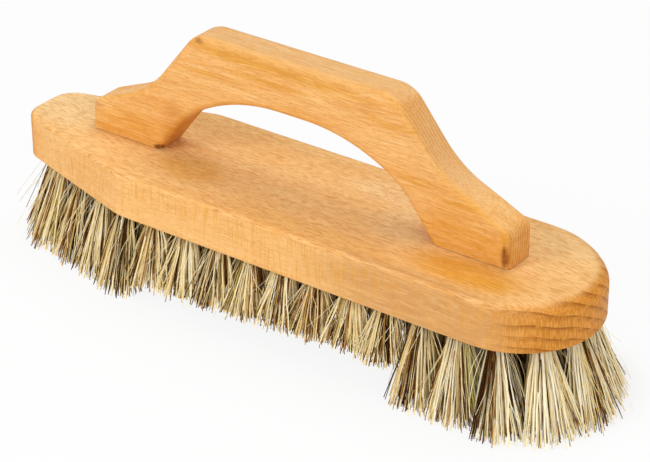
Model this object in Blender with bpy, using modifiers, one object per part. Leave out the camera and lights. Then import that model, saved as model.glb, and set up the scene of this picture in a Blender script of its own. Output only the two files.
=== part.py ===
"""Hand brush: a beech block with an arched handle on top and rows of fibre tufts underneath.

Frame, in metres: +X towards the round heel, +Y across the brush, +Z up. The origin lies under the
middle of the whole brush, on the surface that its long tufts stand on.
"""
import math
import random

import bmesh
import bpy
from mathutils import Matrix, Vector

# Clearance between pieces that touch or fit in each other
CLEARANCE = 0.0003

# Block: a flat board with a full round heel, straight sides and a tapered, blunt nose
BLOCK_LENGTH = 0.280
BLOCK_WIDTH = 0.070
BLOCK_THICKNESS = 0.020
NOSE_WIDTH = 0.027
NOSE_CORNER_RADIUS = 0.011
TAPER_LENGTH = 0.070
SHOULDER_RADIUS = 0.022
SIDE_EDGE_RADIUS = 0.0020
HEEL_EDGE_RADIUS = 0.0040
UNDERSIDE_EDGE_RADIUS = 0.0009

# Handle: one arched piece, flat on both sides, its nose foot a little lower than its heel foot
HANDLE_LENGTH = 0.210
HANDLE_HEIGHT = 0.0583
HANDLE_THICKNESS = 0.016
FOOT_LENGTH = 0.0365
FOOT_CORNER_RADIUS = 0.0032
HEEL_FOOT_END_HEIGHT = 0.0150
HEEL_APRON_LENGTH = 0.0325
HEEL_APRON_ANGLE = math.radians(25.4)
NOSE_FOOT_END_HEIGHT = 0.0130
NOSE_APRON_LENGTH = 0.0300
NOSE_APRON_ANGLE = math.radians(22.5)
APRON_RADIUS = 0.050
LEG_ANGLE = math.radians(51.5)
TOP_CORNER_RADIUS = 0.0140
GRIP_DEPTH = 0.0238
ARCH_LEG_ANGLE = math.radians(53.0)
HAUNCH_HEIGHT = 0.0208
HAUNCH_RADIUS = 0.039
HAUNCH_ANGLE = math.radians(27.0)
CROWN_RADIUS = 0.080
HANDLE_EDGE_RADIUS = 0.0030

# Wood screws: one up through the block into each foot, head sunk in the underside
SCREW_INSET = 0.024
SCREW_HEAD_RADIUS = 0.0038
SCREW_HEAD_HEIGHT = 0.0026
SCREW_SHANK_RADIUS = 0.0021
SCREW_THREAD_RADIUS = 0.0018
SCREW_BITE = 0.0155
SCREW_POINT_LENGTH = 0.0045
SCREW_HEAD_SUNK = 0.0008
SLOT_WIDTH = 0.0010
SLOT_DEPTH = 0.0011

# Tufts: an outer row along the block's edge and an inner row inside it, on each side
OUTER_STEPS = 17
INNER_STEPS = 11
EDGE_INSET = 0.0095
HOLE_RADIUS = 0.0033
HOLE_DEPTH = 0.013
LONG_LENGTH = 0.0375
MIDDLE_LENGTH_AT_NOSE = 0.0302
MIDDLE_LENGTH_AT_HEEL = 0.0230
NOSE_ZONE = 0.068
HEEL_ZONE = 0.063
TRIM_SLOPE_RUN = 0.017
NOSE_LEAN = 0.0095
HEEL_LEAN = 0.0125
SIDE_LEAN = 0.0080
STRANDS_PER_TUFT = 8
STRAND_TIP_RADIUS = 0.0011
TIP_WANDER = 0.0005
UNEVEN_TRIM = 0.0015
STAND_CUT = 0.0005

# Fineness of the round shapes
ARC_STEP = math.radians(9.0)
ROUND_SEGMENTS = 3
HOLE_SIDES = 12
SCREW_SIDES = 16
OVERSHOOT = 0.002

# Heights and places that follow from the sizes above
UNDERSIDE = LONG_LENGTH
BLOCK_TOP = UNDERSIDE + BLOCK_THICKNESS
SOLE = BLOCK_TOP + CLEARANCE
BLOCK_MIDDLE = (NOSE_LEAN - HEEL_LEAN) / 2
NOSE_X = BLOCK_MIDDLE - BLOCK_LENGTH / 2
HEEL_X = BLOCK_MIDDLE + BLOCK_LENGTH / 2
HALF_WIDTH = BLOCK_WIDTH / 2
SHOULDER_X = NOSE_X + TAPER_LENGTH
HEEL_CENTRE_X = HEEL_X - HALF_WIDTH
OUTER_Y = HALF_WIDTH - EDGE_INSET
INNER_Y = OUTER_Y / 3

# Colours as linear red, green, blue
BEECH_BLOCK = (0.74, 0.42, 0.16)
BEECH_HANDLE = (0.71, 0.36, 0.13)
ZINC = (0.62, 0.63, 0.65)
FIBRE_TONES = [(0.66, 0.54, 0.32), (0.50, 0.36, 0.19), (0.74, 0.64, 0.42), (0.24, 0.15, 0.08)]


def clear_scene():
    """Remove every object that the file opened with."""
    for obj in list(bpy.data.objects):
        bpy.data.objects.remove(obj, do_unlink=True)


def new_collection(name):
    """A collection linked to the scene."""
    collection = bpy.data.collections.new(name)
    bpy.context.scene.collection.children.link(collection)
    return collection


def make_material(name, colour, roughness, metallic=0.0):
    """A Principled material with one colour."""
    material = bpy.data.materials.new(name)
    material.use_nodes = True
    shader = material.node_tree.nodes["Principled BSDF"]
    shader.inputs["Base Color"].default_value = (*colour, 1.0)
    shader.inputs["Roughness"].default_value = roughness
    shader.inputs["Metallic"].default_value = metallic
    material.diffuse_color = (*colour, 1.0)
    return material


def new_object(name, data, collection):
    """An object of this data in the collection."""
    obj = bpy.data.objects.new(name, data)
    collection.objects.link(obj)
    return obj


def mesh_from(bm, name):
    """A mesh datablock from a bmesh, which is freed."""
    mesh = bpy.data.meshes.new(name)
    bm.to_mesh(mesh)
    bm.free()
    return mesh


def bake(obj):
    """Replace an object's data by its evaluated mesh, with its modifiers in it."""
    bpy.context.view_layer.update()
    evaluated = obj.evaluated_get(bpy.context.evaluated_depsgraph_get())
    obj.data = bpy.data.meshes.new_from_object(evaluated)
    obj.modifiers.clear()


def boolean(obj, operation, tool):
    """Join a tool to a mesh object or cut it away, and remove the tool."""
    modifier = obj.modifiers.new(operation.lower(), "BOOLEAN")
    modifier.operation = operation
    modifier.solver = "EXACT"
    modifier.object = tool
    bake(obj)
    bpy.data.objects.remove(tool, do_unlink=True)


def shade(obj, material, sharp_angle=math.radians(35.0)):
    """Give a finished piece its material and smooth shading with sharp corners."""
    obj.data.materials.clear()
    obj.data.materials.append(material)
    obj.data.shade_smooth()
    obj.data.set_sharp_from_angle(angle=sharp_angle)


def rounded_outline(corners):
    """Closed outline through corners (x, y, radius), each corner replaced by an arc."""
    points = []
    count = len(corners)
    for index, (x, y, radius) in enumerate(corners):
        corner = Vector((x, y))
        if radius == 0.0:
            points.append(corner)
            continue
        before = Vector(corners[index - 1][:2]) - corner
        after = Vector(corners[(index + 1) % count][:2]) - corner
        turn = math.pi - before.angle(after)
        room = min(before.length, after.length)
        tangent = min(radius * math.tan(turn / 2), room)
        radius = tangent / math.tan(turn / 2)
        bisector = (before.normalized() + after.normalized()).normalized()
        centre = corner + bisector * math.hypot(radius, tangent)
        start = corner + before.normalized() * tangent - centre
        end = corner + after.normalized() * tangent - centre
        steps = max(2, math.ceil(turn / ARC_STEP))
        sweep = start.angle_signed(end)
        for step in range(steps + 1):
            angle = -sweep * step / steps
            point = centre + Matrix.Rotation(angle, 2) @ start
            if not points or (point - points[-1]).length > 1e-6:
                points.append(point)
    if (points[0] - points[-1]).length < 1e-6:
        points.pop()
    return points


def flat_piece(name, outline, thickness, collection):
    """A mesh object from a flat outline in X and Y, centred on its thickness."""
    curve = bpy.data.curves.new(name, "CURVE")
    curve.dimensions = "2D"
    curve.fill_mode = "BOTH"
    curve.extrude = thickness / 2
    spline = curve.splines.new("POLY")
    spline.points.add(len(outline) - 1)
    for point, place in zip(spline.points, outline):
        point.co = (place.x, place.y, 0.0, 1.0)
    spline.use_cyclic_u = True
    obj = new_object(name, curve, collection)
    bpy.context.view_layer.update()
    evaluated = obj.evaluated_get(bpy.context.evaluated_depsgraph_get())
    mesh = bpy.data.meshes.new_from_object(evaluated)
    bpy.data.objects.remove(obj, do_unlink=True)
    bm = bmesh.new()
    bm.from_mesh(mesh)
    bmesh.ops.remove_doubles(bm, verts=bm.verts, dist=1e-6)
    triangulated_caps = []
    for face in bm.faces:
        heights = [vert.co.z for vert in face.verts]
        if max(heights) - min(heights) < thickness / 2:
            triangulated_caps.append(face)
    bmesh.ops.delete(bm, geom=triangulated_caps, context="FACES")
    bmesh.ops.holes_fill(bm, edges=bm.edges, sides=0)
    bmesh.ops.recalc_face_normals(bm, faces=bm.faces)
    return new_object(name, mesh_from(bm, name), collection)


def round_edges(obj, largest, radius_at):
    """Round the edges for which radius_at(start, end) gives a radius, up to the largest one."""
    bm = bmesh.new()
    bm.from_mesh(obj.data)
    weights = bm.edges.layers.float.new("bevel_weight_edge")
    for edge in bm.edges:
        edge[weights] = radius_at(edge.verts[0].co, edge.verts[1].co) / largest
    bm.to_mesh(obj.data)
    bm.free()
    modifier = obj.modifiers.new("rounded_edges", "BEVEL")
    modifier.limit_method = "WEIGHT"
    modifier.width = largest
    modifier.segments = ROUND_SEGMENTS
    modifier.use_clamp_overlap = False
    bake(obj)


def turned_piece(name, profile, collection):
    """A solid of revolution about Z from (radius, z) points that run down its outer side."""
    bm = bmesh.new()
    verts = [bm.verts.new((radius, 0.0, z)) for radius, z in profile]
    for upper, lower in zip(verts, verts[1:]):
        bm.edges.new((upper, lower))
    obj = new_object(name, mesh_from(bm, name), collection)
    modifier = obj.modifiers.new("turned", "SCREW")
    modifier.steps = SCREW_SIDES
    modifier.render_steps = SCREW_SIDES
    modifier.use_merge_vertices = True
    modifier.merge_threshold = 1e-6
    bake(obj)
    return obj


def block_outline():
    """The block seen from above: blunt nose, shoulders and a full round heel."""
    nose_half = NOSE_WIDTH / 2
    return rounded_outline([
        (NOSE_X, -nose_half, NOSE_CORNER_RADIUS),
        (SHOULDER_X, -HALF_WIDTH, SHOULDER_RADIUS),
        (HEEL_X, -HALF_WIDTH, HALF_WIDTH),
        (HEEL_X, HALF_WIDTH, HALF_WIDTH),
        (SHOULDER_X, HALF_WIDTH, SHOULDER_RADIUS),
        (NOSE_X, nose_half, NOSE_CORNER_RADIUS),
    ])


def block_edge_radius(start, end):
    """Edge rounding of the block: more round the heel, hardly any underneath."""
    if start.z * end.z < 0:
        return 0.0
    if start.z < 0:
        return UNDERSIDE_EDGE_RADIUS
    into_heel = ((start.x + end.x) / 2 - HEEL_CENTRE_X) / HALF_WIDTH
    share = min(max(into_heel, 0.0), 1.0)
    return SIDE_EDGE_RADIUS + (HEEL_EDGE_RADIUS - SIDE_EDGE_RADIUS) * share


def row_path(row_y):
    """Half of a row of tufts from nose to heel, as points a short step apart, with y never below 0."""
    inset = HALF_WIDTH - row_y
    taper = Vector((TAPER_LENGTH, HALF_WIDTH - NOSE_WIDTH / 2)).normalized()
    inward = Vector((taper.y, -taper.x))
    on_taper = Vector((SHOULDER_X, HALF_WIDTH)) + inward * inset
    shoulder = on_taper + taper * (row_y - on_taper.y) / taper.y
    nose = on_taper + taper * (NOSE_X + inset - on_taper.x) / taper.x
    points = []
    if nose.y > 0:
        points.append(Vector((nose.x, 0.0)))
    else:
        nose = on_taper - taper * on_taper.y / taper.y
    points += [nose, shoulder, Vector((HEEL_CENTRE_X, row_y))]
    arc_steps = 24
    for step in range(1, arc_steps + 1):
        angle = math.pi / 2 * (1 - step / arc_steps)
        points.append(Vector((HEEL_CENTRE_X + row_y * math.cos(angle), row_y * math.sin(angle))))
    return points


def places_along(points, steps):
    """Places at equal steps along a path, with one at each end."""
    lengths = [(b - a).length for a, b in zip(points, points[1:])]
    spacing = sum(lengths) / steps
    places = []
    for index in range(steps + 1):
        left = spacing * index
        for a, b, length in zip(points, points[1:], lengths):
            if left <= length + 1e-9:
                break
            left -= length
        places.append(a + (b - a) * min(left / length, 1.0))
    return places


def whole_row(half_row):
    """Both sides of a row from its half: the places on the centre line stand only once."""
    far_side = [Vector((place.x, -place.y)) for place in reversed(half_row[1:-1])]
    return half_row + far_side


def tuft_length(x):
    """Free length of a tuft rooted at x: long in both end zones, sloping down to the shorter middle."""
    nose_zone_end = NOSE_X + NOSE_ZONE
    heel_zone_start = HEEL_X - HEEL_ZONE
    into_middle = min(x - nose_zone_end, heel_zone_start - x)
    if into_middle <= 0.0:
        return LONG_LENGTH
    along_middle = (x - nose_zone_end) / (heel_zone_start - nose_zone_end)
    middle_length = MIDDLE_LENGTH_AT_NOSE + (MIDDLE_LENGTH_AT_HEEL - MIDDLE_LENGTH_AT_NOSE) * along_middle
    down_slope = min(into_middle / TRIM_SLOPE_RUN, 1.0)
    return LONG_LENGTH + (middle_length - LONG_LENGTH) * down_slope


def tuft_lean(place, length):
    """How far a tuft's tips lie from straight below its root: outwards, most at the two ends."""
    from_middle = place.x - BLOCK_MIDDLE
    end_lean = HEEL_LEAN if from_middle > 0 else -NOSE_LEAN
    end_distance = BLOCK_LENGTH / 2 - EDGE_INSET
    lean_x = end_lean * abs(from_middle / end_distance) ** 3
    along_taper = max(SHOULDER_X - place.x, 0.0) / TAPER_LENGTH
    half_width = HALF_WIDTH - (HALF_WIDTH - NOSE_WIDTH / 2) * along_taper
    lean_y = SIDE_LEAN * place.y / (half_width - EDGE_INSET)
    return Vector((lean_x, lean_y)) * length / LONG_LENGTH


def tip_reaches(places):
    """How far each tuft's tips may fan out: half the way to the nearest other tuft's tips."""
    tips = [place + tuft_lean(place, tuft_length(place.x)) for place in places]
    reaches = []
    for index, tip in enumerate(tips):
        others = tips[:index] + tips[index + 1:]
        reaches.append(min((tip - other).length for other in others) / 2 - CLEARANCE)
    return reaches


def add_strand(bm, root, tip, root_radius, turn):
    """A three-sided strand from root to tip, with level ends."""
    height = root.z - tip.z
    axis = (root - tip) / height
    place = Matrix.Translation((root + tip) / 2)
    slant = Matrix(((1, 0, axis.x, 0), (0, 1, axis.y, 0), (0, 0, 1, 0), (0, 0, 0, 1)))
    bmesh.ops.create_cone(bm, cap_ends=True, segments=3, radius1=STRAND_TIP_RADIUS,
                          radius2=root_radius, depth=height,
                          matrix=place @ slant @ Matrix.Rotation(turn, 4, "Z"))


def make_tuft(name, place, tip_reach, chance, collection):
    """A tuft: its packed root in the hole, fused to strands that fan out below the block."""
    plug_radius = HOLE_RADIUS - CLEARANCE
    plug_top = UNDERSIDE + HOLE_DEPTH - CLEARANCE
    plug_bottom = UNDERSIDE - CLEARANCE
    bm = bmesh.new()
    centre = Vector((place.x, place.y, (plug_top + plug_bottom) / 2))
    bmesh.ops.create_cone(bm, cap_ends=True, segments=HOLE_SIDES, radius1=plug_radius,
                          radius2=plug_radius, depth=plug_top - plug_bottom,
                          matrix=Matrix.Translation(centre))
    tuft = new_object(name, mesh_from(bm, name), collection)

    length = tuft_length(place.x)
    lean = tuft_lean(place, length)
    root_radius = plug_radius / 4
    root_ring = plug_radius - root_radius * 1.2
    tip_ring = tip_reach - STRAND_TIP_RADIUS - TIP_WANDER
    shortest = STAND_CUT if length == LONG_LENGTH else 0.0
    bm = bmesh.new()
    for index in range(STRANDS_PER_TUFT):
        angle = math.tau * index / (STRANDS_PER_TUFT - 1)
        outward = Vector((math.cos(angle), math.sin(angle))) if index else Vector((0.0, 0.0))
        wander = Vector((chance.uniform(-1, 1), chance.uniform(-1, 1))) * TIP_WANDER / math.sqrt(2)
        root_xy = place + outward * root_ring
        tip_xy = place + lean + outward * tip_ring + wander
        free_length = length + shortest - chance.uniform(0, UNEVEN_TRIM)
        tip_z = max(UNDERSIDE - free_length, 0.0)
        root = Vector((root_xy.x, root_xy.y, UNDERSIDE + plug_radius / 4))
        tip = Vector((tip_xy.x, tip_xy.y, tip_z))
        add_strand(bm, root, tip, root_radius, angle + math.pi)
    strands = new_object(name + "_strands", mesh_from(bm, name + "_strands"), collection)
    boolean(tuft, "UNION", strands)
    return tuft


def screw_outline(gap):
    """Outer side of a wood screw, point up, down to the rim of its head, with a gap all round."""
    head_rim = UNDERSIDE + SCREW_HEAD_SUNK
    point_start = SOLE + SCREW_BITE - SCREW_POINT_LENGTH
    return [
        (0.0, SOLE + SCREW_BITE + gap),
        (SCREW_THREAD_RADIUS + gap, point_start + gap),
        (SCREW_THREAD_RADIUS + gap, BLOCK_TOP + gap),
        (SCREW_SHANK_RADIUS + gap, BLOCK_TOP + gap),
        (SCREW_SHANK_RADIUS + gap, head_rim + SCREW_HEAD_HEIGHT + gap),
        (SCREW_HEAD_RADIUS + gap, head_rim + gap),
    ]


def make_screw(name, x, collection):
    """A slotted countersunk wood screw, point up, on the centre line at x."""
    head_rim = UNDERSIDE + SCREW_HEAD_SUNK
    screw = turned_piece(name, screw_outline(0.0) + [(0.0, head_rim)], collection)
    bm = bmesh.new()
    slot_size = (SCREW_HEAD_RADIUS * 3, SLOT_WIDTH, SLOT_DEPTH * 2, 1.0)
    place = Matrix.Translation((0.0, 0.0, head_rim))
    bmesh.ops.create_cube(bm, size=1.0, matrix=place @ Matrix.Diagonal(slot_size))
    slot = new_object(name + "_slot", mesh_from(bm, name + "_slot"), collection)
    boolean(screw, "DIFFERENCE", slot)
    screw.location.x = x
    return screw


def screw_room(x, collection):
    """Cutter for a screw's holes in the block and in the handle's foot."""
    mouth = UNDERSIDE - OVERSHOOT
    profile = screw_outline(CLEARANCE) + [(SCREW_HEAD_RADIUS + CLEARANCE, mouth), (0.0, mouth)]
    room = turned_piece("screw_room", profile, collection)
    room.location.x = x
    return room


def make_block(places, screw_places, collection, cutters):
    """The board with its rounded edges, a blind hole for each tuft and a hole for each screw."""
    block = flat_piece("block", block_outline(), BLOCK_THICKNESS, collection)
    round_edges(block, HEEL_EDGE_RADIUS, block_edge_radius)
    block.data.transform(Matrix.Translation((0.0, 0.0, (UNDERSIDE + BLOCK_TOP) / 2)))
    bm = bmesh.new()
    hole_middle = UNDERSIDE + (HOLE_DEPTH - OVERSHOOT) / 2
    for place in places:
        spot = Matrix.Translation((place.x, place.y, hole_middle))
        bmesh.ops.create_cone(bm, cap_ends=True, segments=HOLE_SIDES, radius1=HOLE_RADIUS,
                              radius2=HOLE_RADIUS, depth=HOLE_DEPTH + OVERSHOOT, matrix=spot)
    boolean(block, "DIFFERENCE", new_object("tuft_holes", mesh_from(bm, "tuft_holes"), cutters))
    for x in screw_places:
        boolean(block, "DIFFERENCE", screw_room(x, cutters))
    return block


def leg_corners(foot_end_height, apron_length, apron_angle):
    """Corners of a leg on the heel side, from the inner end of its sole out and up to the grip."""
    half = HANDLE_LENGTH / 2
    bend_height = foot_end_height + apron_length * math.tan(apron_angle)
    top_run = apron_length + (HANDLE_HEIGHT - bend_height) / math.tan(LEG_ANGLE)
    return [
        (half - FOOT_LENGTH, 0.0, 0.0),
        (half, 0.0, 0.0),
        (half, foot_end_height, FOOT_CORNER_RADIUS),
        (half - apron_length, bend_height, APRON_RADIUS),
        (half - top_run, HANDLE_HEIGHT, TOP_CORNER_RADIUS),
    ]


def arch_corners():
    """Corners of the arch over the finger gap, from its crown down to the heel leg."""
    half = HANDLE_LENGTH / 2
    arch_height = HANDLE_HEIGHT - GRIP_DEPTH
    haunch_run = FOOT_LENGTH + HAUNCH_HEIGHT / math.tan(ARCH_LEG_ANGLE)
    crown_run = haunch_run + (arch_height - HAUNCH_HEIGHT) / math.tan(HAUNCH_ANGLE)
    return [
        (half - crown_run, arch_height, CROWN_RADIUS),
        (half - haunch_run, HAUNCH_HEIGHT, HAUNCH_RADIUS),
    ]


def mirrored(corners):
    """The same corners on the nose side, in the order that goes on round the outline."""
    return [(-x, y, radius) for x, y, radius in reversed(corners)]


def handle_outline():
    """The handle seen from the side, around its middle, with its feet standing on y = 0."""
    heel_leg = leg_corners(HEEL_FOOT_END_HEIGHT, HEEL_APRON_LENGTH, HEEL_APRON_ANGLE)
    nose_leg = leg_corners(NOSE_FOOT_END_HEIGHT, NOSE_APRON_LENGTH, NOSE_APRON_ANGLE)
    arch = arch_corners()
    return rounded_outline(heel_leg + mirrored(nose_leg) + mirrored(arch) + arch)


def handle_edge_radius(start, end):
    """Edge rounding of the handle: the same all along both sides, none under the feet."""
    across = abs(start.z - end.z) > HANDLE_THICKNESS / 2
    on_sole = max(start.y, end.y) < 1e-6
    return 0.0 if across or on_sole else HANDLE_EDGE_RADIUS


def make_handle(screw_places, collection, cutters):
    """The arched handle, upright on the block, with a pilot hole in each foot."""
    handle = flat_piece("handle", handle_outline(), HANDLE_THICKNESS, collection)
    round_edges(handle, HANDLE_EDGE_RADIUS, handle_edge_radius)
    upright = Matrix.Translation((BLOCK_MIDDLE, 0.0, SOLE)) @ Matrix.Rotation(math.pi / 2, 4, "X")
    handle.data.transform(upright)
    for x in screw_places:
        boolean(handle, "DIFFERENCE", screw_room(x, cutters))
    return handle


def screw_places_between(half_row):
    """Screw places on the centre line: midway between two tufts, nearest the middle of each foot."""
    gaps = [(a.x + b.x) / 2 for a, b in zip(half_row, half_row[1:])]
    wanted = HANDLE_LENGTH / 2 - SCREW_INSET
    return [min(gaps, key=lambda x: abs(x - BLOCK_MIDDLE - side * wanted)) for side in (-1, 1)]


def build():
    """Make the whole brush."""
    clear_scene()
    brush = new_collection("hand_brush")
    cutters = new_collection("cutters")
    outer_half = places_along(row_path(OUTER_Y), OUTER_STEPS)
    inner_half = places_along(row_path(INNER_Y), INNER_STEPS)
    rows = {"outer": whole_row(outer_half), "inner": whole_row(inner_half)}
    all_places = rows["outer"] + rows["inner"]
    screw_places = screw_places_between(inner_half)

    block = make_block(all_places, screw_places, brush, cutters)
    shade(block, make_material("oiled_beech_block", BEECH_BLOCK, 0.5))
    handle = make_handle(screw_places, brush, cutters)
    shade(handle, make_material("oiled_beech_handle", BEECH_HANDLE, 0.45))
    zinc = make_material("zinc_plated_steel", ZINC, 0.35, 1.0)
    for end, x in zip(("nose", "heel"), screw_places):
        shade(make_screw("screw_" + end, x, brush), zinc)

    fibres = []
    for index, tone in enumerate(FIBRE_TONES):
        fibres.append(make_material(f"plant_fibre_{index + 1}", tone, 0.8))
    reaches = iter(tip_reaches(all_places))
    chance = random.Random(7)
    for row, places in rows.items():
        for index, place in enumerate(places):
            name = f"tuft_{row}_{index + 1:02d}"
            tuft = make_tuft(name, place, next(reaches), chance, brush)
            shade(tuft, fibres[chance.choice((0, 0, 1, 1, 2, 2, 3))])


build()
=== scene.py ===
"""Looks of the hand brush: oiled beech, mixed plant fibre and zinc-plated screws in soft light.

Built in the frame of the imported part, in metres: +X towards the round heel, +Y across, +Z up.
"""

import math
from types import SimpleNamespace

import bmesh
import bpy
import numpy as np
from mathutils import Matrix, Vector, noise


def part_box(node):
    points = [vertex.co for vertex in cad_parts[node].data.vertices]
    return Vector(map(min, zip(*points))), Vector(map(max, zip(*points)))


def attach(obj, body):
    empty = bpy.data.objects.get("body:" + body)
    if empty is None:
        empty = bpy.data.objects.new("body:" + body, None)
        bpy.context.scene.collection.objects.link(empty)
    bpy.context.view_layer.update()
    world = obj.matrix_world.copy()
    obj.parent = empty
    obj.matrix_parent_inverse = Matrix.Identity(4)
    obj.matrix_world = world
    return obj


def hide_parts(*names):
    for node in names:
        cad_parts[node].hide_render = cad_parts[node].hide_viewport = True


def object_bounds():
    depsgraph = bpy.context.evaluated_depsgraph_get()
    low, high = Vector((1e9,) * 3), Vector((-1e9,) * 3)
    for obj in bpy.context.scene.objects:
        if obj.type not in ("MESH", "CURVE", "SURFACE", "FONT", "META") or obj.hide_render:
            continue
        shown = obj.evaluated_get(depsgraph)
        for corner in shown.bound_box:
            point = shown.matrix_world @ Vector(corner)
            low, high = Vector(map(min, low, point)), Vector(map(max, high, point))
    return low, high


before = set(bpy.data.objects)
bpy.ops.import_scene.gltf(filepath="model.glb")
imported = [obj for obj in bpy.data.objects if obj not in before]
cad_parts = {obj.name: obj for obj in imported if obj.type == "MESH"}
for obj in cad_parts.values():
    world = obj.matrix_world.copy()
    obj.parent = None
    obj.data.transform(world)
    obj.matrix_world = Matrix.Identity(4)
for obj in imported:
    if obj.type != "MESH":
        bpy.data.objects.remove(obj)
cad_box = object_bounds()

# Block: its length, width and heights come from the frame, the rest is as in the solid
BLOCK_LOW, BLOCK_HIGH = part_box("block")
UNDERSIDE, BLOCK_TOP = BLOCK_LOW.z, BLOCK_HIGH.z
BLOCK_MIDDLE_Z = (UNDERSIDE + BLOCK_TOP) / 2
NOSE_X, HEEL_X = BLOCK_LOW.x, BLOCK_HIGH.x
HALF_WIDTH = BLOCK_HIGH.y
NOSE_WIDTH = 0.027
NOSE_CORNER_RADIUS = 0.011
TAPER_LENGTH = 0.070
SHOULDER_RADIUS = 0.022
SIDE_EDGE_RADIUS = 0.0020
HEEL_EDGE_RADIUS = 0.0068
UNDERSIDE_EDGE_RADIUS = 0.0009
HEEL_CENTRE_X = HEEL_X - HALF_WIDTH
HEEL_EDGE_LEAD = 0.008
HEEL_EDGE_RUN = 0.034

# Handle: as in the solid, but with softer feet corners
HANDLE_LOW, HANDLE_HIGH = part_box("handle")
SOLE = HANDLE_LOW.z
HANDLE_LENGTH = HANDLE_HIGH.x - HANDLE_LOW.x
HANDLE_HEIGHT = HANDLE_HIGH.z - SOLE
HANDLE_HALF_THICKNESS = HANDLE_HIGH.y
HANDLE_FRONT = -HANDLE_HALF_THICKNESS
HANDLE_MIDDLE = (HANDLE_LOW.x + HANDLE_HIGH.x) / 2
FOOT_LENGTH = 0.0365
FOOT_CORNER_RADIUS = 0.0050
HEEL_FOOT_END_HEIGHT = 0.0150
HEEL_APRON_LENGTH = 0.0325
HEEL_APRON_ANGLE = math.radians(25.4)
NOSE_FOOT_END_HEIGHT = 0.0130
NOSE_APRON_LENGTH = 0.0300
NOSE_APRON_ANGLE = math.radians(22.5)
APRON_RADIUS = 0.050
LEG_ANGLE = math.radians(51.5)
TOP_CORNER_RADIUS = 0.0140
GRIP_DEPTH = 0.0238
ARCH_LEG_ANGLE = math.radians(53.0)
HAUNCH_HEIGHT = 0.0208
HAUNCH_RADIUS = 0.039
HAUNCH_ANGLE = math.radians(27.0)
CROWN_RADIUS = 0.080
GRIP_EDGE_RADIUS = 0.0030
FOOT_EDGE_RADIUS = 0.0019
FOOT_EDGE_LEAD = 0.030
FOOT_EDGE_RUN = 0.022

# Holes: one for each tuft and one for each screw
HOLE_RADIUS = 0.0033
HOLE_DEPTH = 0.013
HOLE_SIDES = 24
SCREW_NODES = ("screw_nose", "screw_heel")
SCREW_GAP = 0.0003
SCREW_HEAD_HEIGHT = 0.0026
SCREW_SHANK_RADIUS = 0.0021
SCREW_POINT_LENGTH = 0.004
SCREW_HOLE_SIDES = 32

# Fineness of the wooden pieces
SAME_POINT = 1e-6
ARC_STEP = math.radians(3.0)
POINT_SPACING = 0.0022
ROUND_STEPS = 7
BLOCK_SIDE_STEPS = 30
HANDLE_SIDE_STEPS = 8
SUPPORT_RING = 0.0004
OVERSHOOT = 0.004
WOOD_SHARP_ANGLE = math.radians(38.0)

# Growth rings of the block: wide arcs with their crest near the front side, worn at the heel.
# The bend is (crest's y, curvature), and each wave is (height in layers, length, start).
RING_SPACING = 0.00505
RING_ORIGIN = UNDERSIDE + 0.00275
RING_BEND = (-0.033, 9.5)
RING_RELIEF = 0.00016
RING_WAVES = ((0.06, 0.0085, 0.4), (0.04, 0.0036, 1.7))
RING_EDGE_POWER = 12
RING_END_POWER = 1.5


def rounded_outline(corners):
    """Closed outline through corners (x, y, radius), each corner replaced by an arc."""
    points = []
    count = len(corners)
    for index, (x, y, radius) in enumerate(corners):
        corner = Vector((x, y))
        if radius == 0.0:
            points.append(corner)
            continue
        before = Vector(corners[index - 1][:2]) - corner
        after = Vector(corners[(index + 1) % count][:2]) - corner
        turn = math.pi - before.angle(after)
        room = min(before.length, after.length)
        tangent = min(radius * math.tan(turn / 2), room)
        radius = tangent / math.tan(turn / 2)
        bisector = (before.normalized() + after.normalized()).normalized()
        centre = corner + bisector * math.hypot(radius, tangent)
        start = corner + before.normalized() * tangent - centre
        end = corner + after.normalized() * tangent - centre
        steps = max(2, math.ceil(turn / ARC_STEP))
        sweep = start.angle_signed(end)
        for step in range(steps + 1):
            point = centre + Matrix.Rotation(-sweep * step / steps, 2) @ start
            if not points or (point - points[-1]).length > SAME_POINT:
                points.append(point)
    if (points[0] - points[-1]).length < SAME_POINT:
        points.pop()
    return points


def evenly_spaced(outline):
    """The outline as an array of points, with its long straight runs cut into short steps."""
    spaced = []
    for start, end in zip(outline, outline[1:] + outline[:1]):
        steps = max(1, round((end - start).length / POINT_SPACING))
        spaced += [start.lerp(end, step / steps) for step in range(steps)]
    return np.array(spaced)


def inward_normals(points):
    """Unit vectors that point into a closed outline that runs anticlockwise."""
    tangents = np.roll(points, -1, axis=0) - np.roll(points, 1, axis=0)
    tangents /= np.linalg.norm(tangents, axis=1)[:, None]
    return np.stack([-tangents[:, 1], tangents[:, 0]], axis=1)


def eased(values):
    """Values cut to the range from 0 to 1, with a soft start and a soft end."""
    share = np.clip(values, 0.0, 1.0)
    return share * share * (3 - 2 * share)


def edge_rows(lower, upper, half_thickness, side_steps):
    """Rows of a slab from its lower face up round both edges: how far in and how high they lie."""
    rows = [(lower + SUPPORT_RING, -half_thickness + 0 * lower)]
    for step in range(ROUND_STEPS + 1):
        angle = math.pi / 2 * step / ROUND_STEPS
        rise = lower * (1 - math.cos(angle))
        rows.append((lower * (1 - math.sin(angle)), rise - half_thickness))
    side_low = lower - half_thickness
    side_high = half_thickness - upper
    for step in range(1, side_steps):
        rows.append((0 * lower, side_low + (side_high - side_low) * step / side_steps))
    for step in range(ROUND_STEPS + 1):
        angle = math.pi / 2 * (1 - step / ROUND_STEPS)
        drop = upper * (1 - math.cos(angle))
        rows.append((upper * (1 - math.sin(angle)), half_thickness - drop))
    rows.append((upper + SUPPORT_RING, half_thickness + 0 * upper))
    return rows


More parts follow.
